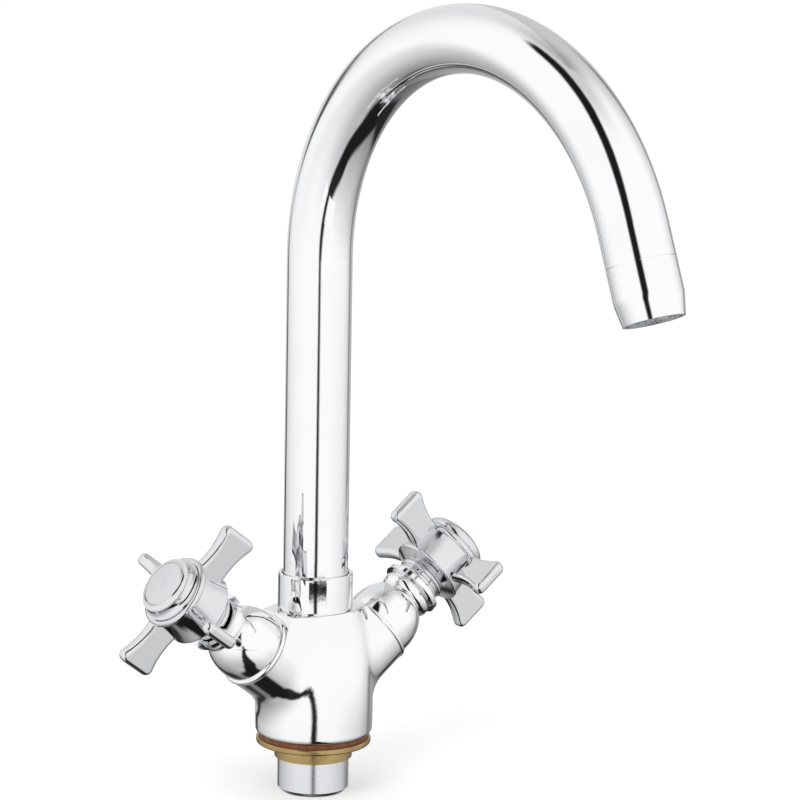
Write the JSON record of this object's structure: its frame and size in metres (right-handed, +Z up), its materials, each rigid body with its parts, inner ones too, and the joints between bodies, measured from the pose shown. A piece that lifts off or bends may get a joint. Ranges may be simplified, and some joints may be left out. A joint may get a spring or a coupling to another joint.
{
  "type": "two handle kitchen mixer tap",
  "caption": "Chromed deck-mounted kitchen mixer with a high swivelling gooseneck spout and two slanted cross handles on quarter-turn ceramic valves.",
  "frame": {"origin": "centre of the deck plane, where the centring ring's flange rests on the sink, on the axis of shank and riser", "axes": "+Z up along the riser, -Y the front, to which the spout points at rest, swivelled 1.5 degrees to +X as in the picture, +X towards the right (cold) handle"},
  "size_m": [0.1617, 0.2183, 0.2981],
  "materials": {
    "chrome_body": "bright chrome plate on a cast brass body",
    "chrome_tube": "bright chrome plate on drawn tube",
    "chrome_trim": "bright chrome plate on turned brass",
    "chrome_handle": "bright chrome plate on a die-cast handle",
    "index_metal": "satin chrome, bare of any mark",
    "ring_brass": "turned brass, slightly tarnished",
    "bare_brass": "machined brass",
    "gasket_fibre": "red-brown sealing fibre, matte",
    "black_rubber": "matte rubber",
    "white_acetal": "moulded acetal",
    "insert_plastic": "moulded plastic",
    "screen_steel": "punched stainless steel",
    "clip_steel": "plain stainless steel",
    "ceramic_disc": "lapped alumina"
  },
  "bodies": {
    "base": {"mixer_body": "chrome_body", "centring_ring": "ring_brass", "base_gasket": "gasket_fibre", "spout_collar": "chrome_trim", "slide_washer": "white_acetal", "left_headwork": "bare_brass", "left_headwork_seal": "black_rubber", "left_seat_seal": "black_rubber", "left_fixed_disc": "ceramic_disc", "left_bonnet": "chrome_trim", "right_headwork": "bare_brass", "right_headwork_seal": "black_rubber", "right_seat_seal": "black_rubber", "right_fixed_disc": "ceramic_disc", "right_bonnet": "chrome_trim"},
    "spout": {"spout_tube": "chrome_tube", "spout_foot": "bare_brass", "spout_seals": "black_rubber", "spout_nose": "chrome_tube", "outlet_seal": "black_rubber", "aerator_insert": "insert_plastic", "aerator_screen": "screen_steel", "aerator_shell": "chrome_trim"},
    "left_valve": {"left_handle": "chrome_handle", "left_index_cap": "index_metal", "left_handle_screw": "clip_steel", "left_spindle": "bare_brass", "left_spindle_seal": "black_rubber", "left_spindle_clip": "clip_steel", "left_moving_disc": "ceramic_disc"},
    "right_valve": {"right_handle": "chrome_handle", "right_index_cap": "index_metal", "right_handle_screw": "clip_steel", "right_spindle": "bare_brass", "right_spindle_seal": "black_rubber", "right_spindle_clip": "clip_steel", "right_moving_disc": "ceramic_disc"}
  },
  "joints": [
    {"name": "spout_swivel", "type": "hinge", "parent": "base", "child": "spout", "pos_m": [0, 0, 0.06], "axis": [0, 0, 1], "continuous": true},
    {"name": "left_handle_turn", "type": "hinge", "parent": "base", "child": "left_valve", "pos_m": [-0.05609, 0, 0.06037], "axis": [-0.8014, 0, 0.5982], "range_deg": [0, 90]},
    {"name": "right_handle_turn", "type": "hinge", "parent": "base", "child": "right_valve", "pos_m": [0.05609, 0, 0.06037], "axis": [0.8014, 0, 0.5982], "range_deg": [0, 90]}
  ]
}
